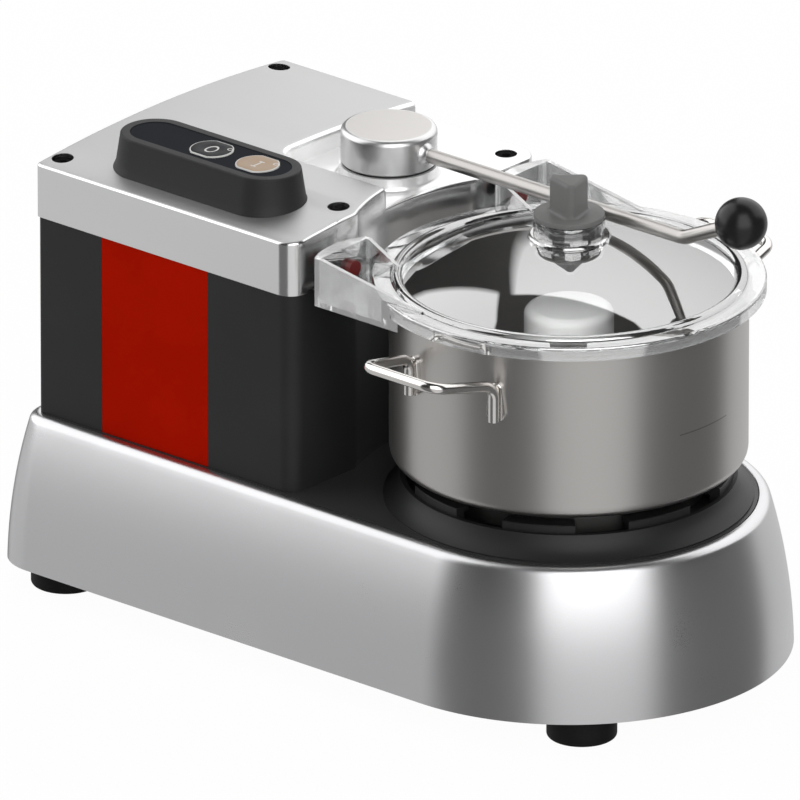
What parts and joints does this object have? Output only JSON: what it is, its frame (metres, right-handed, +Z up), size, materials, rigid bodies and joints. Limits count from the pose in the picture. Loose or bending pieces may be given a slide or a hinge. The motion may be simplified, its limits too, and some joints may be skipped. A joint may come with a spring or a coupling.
{
  "type": "food cutter mixer",
  "caption": "Table-top food cutter mixer: cast base on rubber feet, tall motor housing with control pod, and a handled steel bowl under a clear lid with locking lever.",
  "frame": {"origin": "on the table, under the middle of the machine's bounding box", "axes": "+X from the motor housing towards the bowl, +Y to the back, +Z up"},
  "size_m": [0.5389, 0.3524, 0.3596],
  "materials": {
    "base_paint": "satin silver paint",
    "cover_metal": "satin cast aluminium",
    "black_metal": "satin black paint",
    "red_panel": "satin red paint",
    "black_plastic": "fine grain",
    "dark_glass": "gloss",
    "stop_plastic": "gloss",
    "start_plastic": "satin",
    "board": "lacquered board",
    "brushed": "brushed stainless steel",
    "polished": "polished stainless steel",
    "machined": "turned steel",
    "zinc": "zinc plated",
    "blade_steel": "ground steel",
    "clear_lid": "clear moulded plastic",
    "seal_rubber": "soft seal",
    "foot_rubber": "matt",
    "belt_rubber": "matt",
    "plug_plastic": "satin grey",
    "ball_plastic": "gloss",
    "knife_plastic": "gloss",
    "copper": "lacquered copper wire",
    "iron": "laminated iron",
    "bronze": "sintered bronze",
    "gland_plastic": "moulded"
  },
  "bodies": {
    "bowl": {"bowl_shell": "brushed", "bowl_tube": "brushed", "bowl_base_ring": "brushed", "front_handle": "polished", "rear_handle": "polished"},
    "lever": {"lever_hub": "cover_metal", "lever_rod": "polished", "lever_ball": "ball_plastic", "lever_spindle": "machined", "switch_cam": "machined"},
    "spindle": {"main_shaft": "machined", "driven_pulley": "machined", "knife_hub": "knife_plastic", "lower_knife": "blade_steel", "upper_knife": "blade_steel", "knife_spacer": "knife_plastic", "knife_nut": "knife_plastic"},
    "motor": {"motor_rotor": "iron", "motor_shaft": "machined", "motor_pulley": "machined", "motor_fan": "black_plastic"},
    "plug": {"feed_plug": "plug_plastic"},
    "stop": {"stop_button": "stop_plastic"},
    "start": {"start_button": "start_plastic"},
    "machine": {"base_casting": "base_paint", "deck_plate": "black_metal", "bottom_plate": "zinc", "rubber_feet": "foot_rubber", "foot_screws": "zinc", "motor_housing": "black_metal", "red_panel": "red_panel", "top_cover": "cover_metal", "tie_bolts": "black_metal", "control_pod": "black_plastic", "pod_glass": "dark_glass", "control_board": "board", "button_switches": "black_plastic", "bowl_seat": "black_metal", "lid_shell": "clear_lid", "lid_seal": "seal_rubber", "lid_magnets": "machined", "reed_switches": "black_plastic", "lever_bush": "bronze", "hub_washer": "black_plastic", "lock_switch": "black_plastic", "motor_plate": "machined", "motor_stator": "iron", "motor_windings": "copper", "motor_shields": "cover_metal", "motor_bearings": "machined", "capacitor": "cover_metal", "drive_belt": "belt_rubber", "spindle_housing": "cover_metal", "spindle_bearings": "machined", "shaft_seal": "seal_rubber", "cable_gland": "gland_plastic", "gland_nut": "gland_plastic"}
  },
  "joints": [
    {"name": "lever_swing", "type": "hinge", "parent": "machine", "child": "lever", "pos_m": [-0.0665, 0.03, 0.306], "axis": [0, 0, 1], "range_deg": [0, 95]},
    {"name": "plug_lift", "type": "slide", "parent": "machine", "child": "plug", "axis": [0, 0, 1], "range_m": [0, 0.055]},
    {"name": "bowl_turn", "type": "hinge", "parent": "machine", "child": "bowl", "pos_m": [0.1185, 0, 0.153], "axis": [0, 0, 1], "range_deg": [0, 20]},
    {"name": "motor_spin", "type": "hinge", "parent": "machine", "child": "motor", "pos_m": [-0.1315, 0, 0.189], "axis": [0, 0, 1], "continuous": true},
    {"name": "blade_spin", "type": "hinge", "parent": "machine", "child": "spindle", "pos_m": [0.1185, 0, 0.1], "axis": [0, 0, 1], "continuous": true},
    {"name": "stop_button_press", "type": "slide", "parent": "machine", "child": "stop", "axis": [0, 0, -1], "range_m": [0, 0.0015], "stiffness_N_per_m": 600, "springref_m": -0.0015},
    {"name": "start_button_press", "type": "slide", "parent": "machine", "child": "start", "axis": [0, 0, -1], "range_m": [0, 0.0015], "stiffness_N_per_m": 600, "springref_m": -0.0015}
  ],
  "couplings": [
    {"joint": "blade_spin", "follows": "motor_spin", "ratio": 0.55556}
  ]
}
